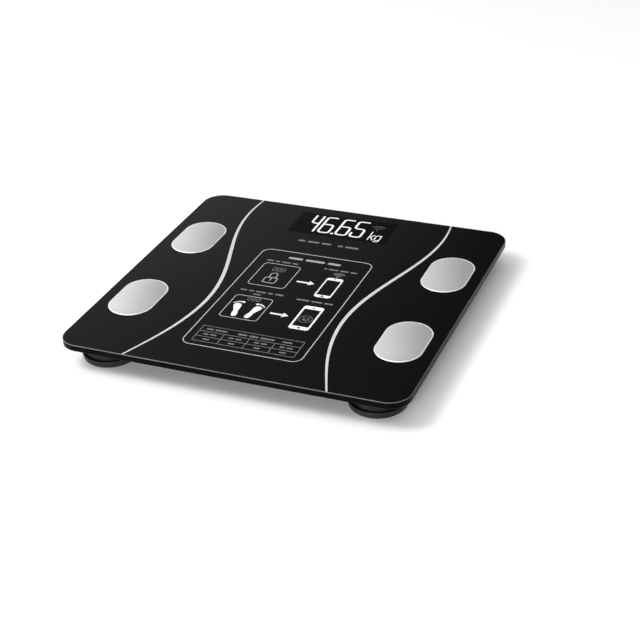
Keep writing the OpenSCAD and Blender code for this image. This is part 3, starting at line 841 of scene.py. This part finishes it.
def instructionPanel():
    height = panel["top"] - panel["bottom"]
    edge = boxPath((0, (panel["top"] + panel["bottom"]) / 2), (2 * panel["halfWidth"], height),
                   panel["cornerRadius"], 12)
    printPiece("panelLine", [inkOutline(edge, panel["pen"])], "lineInk")
    printPiece("titleBars", wordBars(*titleLine), "titleInk")
    printPiece("captionBars", barsOf(captionLines), "captionInk")

    frames = []
    for top, bottom in cards["rows"]:
        middle = ((cards["left"] + cards["right"]) / 2, (top + bottom) / 2)
        size = (cards["right"] - cards["left"], top - bottom)
        frames.append(inkOutline(boxPath(middle, size, cards["radius"]), cards["pen"]))
    printPiece("cardLines", frames, "lineInk")

    zeros = []
    for x, y, tall in readout["places"]:
        for k in range(3):
            zeros += writeNumeral("0", (x + readout["pitch"] * k, y), (readout["width"], tall),
                                  readout["pen"], 0, readout["bend"])
    printPiece("cardReadouts", zeros, "faintInk")


lock = dict(x=-21.0, base=-3.2, pen=0.9, size=(9.8, 8.2), bodyY=4.4, radius=1.4, archRadius=2.7,
            archFrom=8.5, archY=13.2, keyhole=(8.2, 4.2))


def padlock():
    # Body, shackle (two uprights under a half circle) and keyhole line
    x, base, pen, arch = lock["x"], lock["base"], lock["pen"], lock["archRadius"]
    body = boxPath((x, base + lock["bodyY"]), lock["size"], lock["radius"])
    turn = np.radians(np.linspace(0, 180, 17))
    bow = np.column_stack([x + arch * np.cos(turn), base + lock["archY"] + arch * np.sin(turn)])
    low = base + lock["archFrom"]
    shackle = np.vstack([[x + arch, low], bow, [x - arch, low]])
    keyhole = [(x, base + y) for y in lock["keyhole"]]
    printPiece("padlockSign", [inkOutline(body, pen), inkStroke(shackle, pen, 1),
                               inkStroke(keyhole, pen, 2)], "titleInk")


arrow = dict(rows=(5.6, -44.8), tail=-0.9, neck=9.2, head=8.7, tip=13.4, halfHead=3.2, pen=1.95,
             soften=0.3)


def arrows():
    # A shaft with a square tail and a triangular head
    shapes = []
    for y in arrow["rows"]:
        head = [(arrow["head"], y - arrow["halfHead"]), (arrow["tip"], y),
                (arrow["head"], y + arrow["halfHead"])]
        shapes.append(inkStroke([(arrow["tail"], y), (arrow["neck"], y)], arrow["pen"], 0, blunt=True))
        shapes.append(inkRing(roundedPath(head, arrow["soften"], True), 1))
    printPiece("arrows", shapes, "whiteInk")


# Of each phone sign: its middle, its size, and the heights of its bands and widths of its sides
phones = ((25.7, 3.25, 13.2, 30.5, 3.7, 1.1), (26.8, -43.4, 15.6, 34.0, 4.5, 1.5))
phone = dict(radius=2.6, screenRadius=0.4, upperDot=0.75, lowerDot=1.1, dotLayer=4)
# A round readout on the second phone: dashes as offsets from its middle, and their lengths
dial = dict(below=1.8, radius=4.9, pen=0.45, dot=(-1.1, -1.0), dotRadius=1.1, dashPen=0.7,
            dashes=((-2.6, 1.7, 1.6), (0.8, 1.7, 1.8), (1.2, -0.4, 1.6), (0.4, -2.2, 1.4)))


def phoneSigns():
    # A white frame with thick bands above and below its screen, and a dot in each band
    shapes, dots = [], []
    for x, y, w, h, band, side in phones:
        outer = boxPath((x, y), (w, h), phone["radius"])
        inner = boxPath((x, y), (w - 2 * side, h - 2 * band), phone["screenRadius"])
        shapes.append(inkWall(outer, inner, 0, True))
        rise = (h - band) / 2
        dots.append(inkRing(circlePath((x, y + rise), phone["upperDot"]), phone["dotLayer"]))
        dots.append(inkRing(circlePath((x, y - rise), phone["lowerDot"]), phone["dotLayer"]))
    printPiece("phoneSigns", shapes, "whiteInk")
    makePiece("phoneDots", dots, ["displayBlack"], smooth=30)
    printPiece("phoneLink", linkArcs(**linkOnPanel), "faintInk")

    x, y = phones[1][0], phones[1][1] - dial["below"]
    dx, dy = dial["dot"]
    marks = [inkOutline(circlePath((x, y), dial["radius"], 40), dial["pen"]),
             inkRing(circlePath((x + dx, y + dy), dial["dotRadius"]), 0)]
    marks += [inkStroke([(x + dx, y + dy), (x + dx + run, y + dy)], dial["dashPen"], 1)
              for dx, dy, run in dial["dashes"]]
    printPiece("phoneDial", marks, "captionInk")


footprint = dict(
    heel=(-25.3, -54.9),
    arch=(-26.3, -47.6),
    ball=(-28.2, -41.4),
    axis=-20.1,  # the other foot is mirrored about it
    along=(0, 0.2, 0.45, 0.75, 1),
    width=(4.2, 4.3, 3.4, 5.2, 6.0),
    toes=(((-25.6, -35.9), 1.2), ((-27.8, -35.7), 0.85), ((-29.5, -36.3), 0.75), ((-30.9, -37.3), 0.7),
          ((-32.0, -38.7), 0.65)),
)


def footprintSigns():
    # Each sole is a pen line from heel to ball, a quadratic curve pulled towards the arch point,
    # whose width follows the foot. Five round toes lead it.
    heel, arch, ball = (np.array(footprint[key]) for key in ("heel", "arch", "ball"))
    share = np.linspace(0, 1, 24)[:, None]
    sole = (1 - share) ** 2 * heel + 2 * share * (1 - share) * arch + share ** 2 * ball

    def width(along):
        return np.interp(along, footprint["along"], footprint["width"])

    def mirrored(points, way):
        points = np.array(points, float)
        points[..., 0] = footprint["axis"] + way * (points[..., 0] - footprint["axis"])
        return points

    shapes = []
    for way in (1, -1):
        shapes.append(inkStroke(mirrored(sole, way), width))
        shapes += [inkRing(circlePath(mirrored(place, way), radius), 0)
                   for place, radius in footprint["toes"]]
    printPiece("footprintSigns", shapes, "whiteInk")


table = dict(
    halfWidth=38.8,
    top=-75.6,
    bottom=-96.5,
    rows=(-83.0, -89.9),
    columns=(-19.4, 0.0, 19.4),
    pen=0.55,
    headWords=((-35.0, -18.5, -79.4, 1.7, (3, 5)), (-10.5, 17.5, -79.6, 1.9, (4, 4, 6)),
               (23.5, 31.0, -79.6, 1.7, (1,))),
    firstCell=-29.1,
    cellPitch=19.4,
    cellWords=((5.0, -86.4, (4, 5)), (2.5, -93.2, (1,))),  # half width, height on the glass, words
    cellBar=1.6,
)


def unitTable():
    # Outline, two rules and three short column rules, with blank words in the cells
    w, top, bottom, pen = table["halfWidth"], table["top"], table["bottom"], table["pen"]
    lines = [inkOutline(boxPath((0, (top + bottom) / 2), (2 * w, top - bottom), 0.3, 2), pen)]
    lines += [inkStroke([(-w, y), (w, y)], pen, 1, blunt=True) for y in table["rows"]]
    lines += [inkStroke([(x, table["rows"][0]), (x, bottom)], pen, 2, blunt=True)
              for x in table["columns"]]
    printPiece("tableLines", lines, "captionInk")
    words = barsOf(table["headWords"])
    for k in range(4):
        x = table["firstCell"] + table["cellPitch"] * k
        words += barsOf((x - half, x + half, y, table["cellBar"], shares)
                        for half, y, shares in table["cellWords"])
    printPiece("tableWords", words, "captionInk")


sweptLines()
displayWindow()
instructionPanel()
padlock()
arrows()
phoneSigns()
footprintSigns()
unitTable()
print("scale: artwork printed")


# Finish of the CAD nodes that stay, by their slot in the record
slotFinish = {
    "zinc_steel": "zinc", "electrode_core": "coreBlue", "foam_tape": "foamTape", "film_tape": "filmTape",
    "black_plastic": "casePlastic", "door_plastic": "casePlastic", "cell_jacket": "cellJacket",
    "spring_steel": "springWire", "contact_plate": "plated", "grey_plastic": "keyPlastic",
    "circuit_board": "boardMask", "chip_plastic": "chipPlastic", "shield_metal": "shield",
    "white_plastic": "whitePlastic", "display_glass": "displayBlack", "led_plastic": "ledResin",
    "pink_rubber": "softPink", "gauge_rubber": "softWhite", "cell_steel": "cellSteel",
    "ribbon_plastic": "leadCores", "pad_rubber": "padRubber", "black_glass": "glassFace",
    "brushed_steel": "electrode",
}
for part in frame["record"]["subparts"]:
    node = cadNodes[part["node"]]
    node.data.materials.clear()
    node.data.materials.append(finish[slotFinish[part["material_slot"]]])
print("scale: CAD nodes finished")


def buildStage():
    # The floor is a flat grid
    half, cells = studio["floorHalf"], 8
    grid = np.linspace(-half, half, cells + 1)
    x, y = np.meshgrid(grid, grid, indexing="ij")
    points = np.stack([x, y, 0 * x], axis=-1).reshape(-1, 3)
    i, j = (k.ravel() for k in np.meshgrid(np.arange(cells), np.arange(cells), indexing="ij"))
    first = i * (cells + 1) + j
    beyond = first + cells + 1
    squares = np.stack([first, beyond, beyond + 1, first + 1], axis=1)
    mesh = bpy.data.meshes.new("floor")
    mesh.from_pydata(points.tolist(), [], squares.tolist())
    pale = studio["floorColour"]
    shade = mottled(pale, tuple(value * 0.99 for value in pale), 6, 0.7, 0.8)
    mesh.materials.append(makeFinish("paleFloor", shade))
    floor = bpy.data.objects.new("floor", mesh)
    bpy.context.scene.collection.objects.link(floor)

    for name in ("key", "fill"):
        light = bpy.data.lights.new(name, "AREA")
        light.energy = studio[name + "Power"]
        light.size = studio[name + "Size"]
        lamp = bpy.data.objects.new(name, light)
        place = Vector(studio[name + "Place"])
        lamp.location = place
        lamp.rotation_euler = (-place).to_track_quat("-Z", "Y").to_euler()
        bpy.context.scene.collection.objects.link(lamp)

    # Room light by direction: bright near the ground and high up, dim between, less so on the left
    world = bpy.data.worlds.new("room")
    world.use_nodes = True
    tree = world.node_tree
    direction = Wire(tree).node("ShaderNodeTexCoord")
    x = direction.node("ShaderNodeSeparateXYZ", {}, {0: direction}, output=0)
    z = direction.node("ShaderNodeSeparateXYZ", {}, {0: direction}, output=2)
    left = (-studio["leftFrom"] - x).atLeast(0.0)
    low = 1.0 - z.between(*studio["horizonBand"])
    high = z.between(*studio["ceilingBand"])
    high = high * (1.0 - z.between(*studio["zenithBand"]) * studio["zenithDim"])
    lift = (1.0 - z.between(*studio["dimBand"])) * studio["dimLift"] + 1.0
    dim = left * lift * studio["dimSlope"]
    strength = dim + low * studio["horizon"] + high * (left * studio["ceilingLeft"] + studio["ceiling"])
    tree.links.new(strength.socket, tree.nodes["Background"].inputs["Strength"])
    tree.nodes["Background"].inputs["Color"].default_value = colour(1, 1, 1)
    bpy.context.scene.world = world
    bpy.context.scene.view_settings.view_transform = "Standard"


def placeCamera():
    lens = bpy.data.cameras.new("camera")
    lens.sensor_width = 36.0
    lens.lens = camera["lens"]
    view = bpy.data.objects.new("camera", lens)
    place = Vector(camera["place"])
    turn = (Vector(camera["aim"]) - place).to_track_quat("-Z", "Y").to_matrix().to_4x4()
    roll = Matrix.Rotation(math.radians(camera["roll"]), 4, "Z")
    view.matrix_world = Matrix.Translation(place) @ turn @ roll
    bpy.context.scene.collection.objects.link(view)
    bpy.context.scene.camera = view


buildStage()
placeCamera()
print("scale: stage and camera placed")
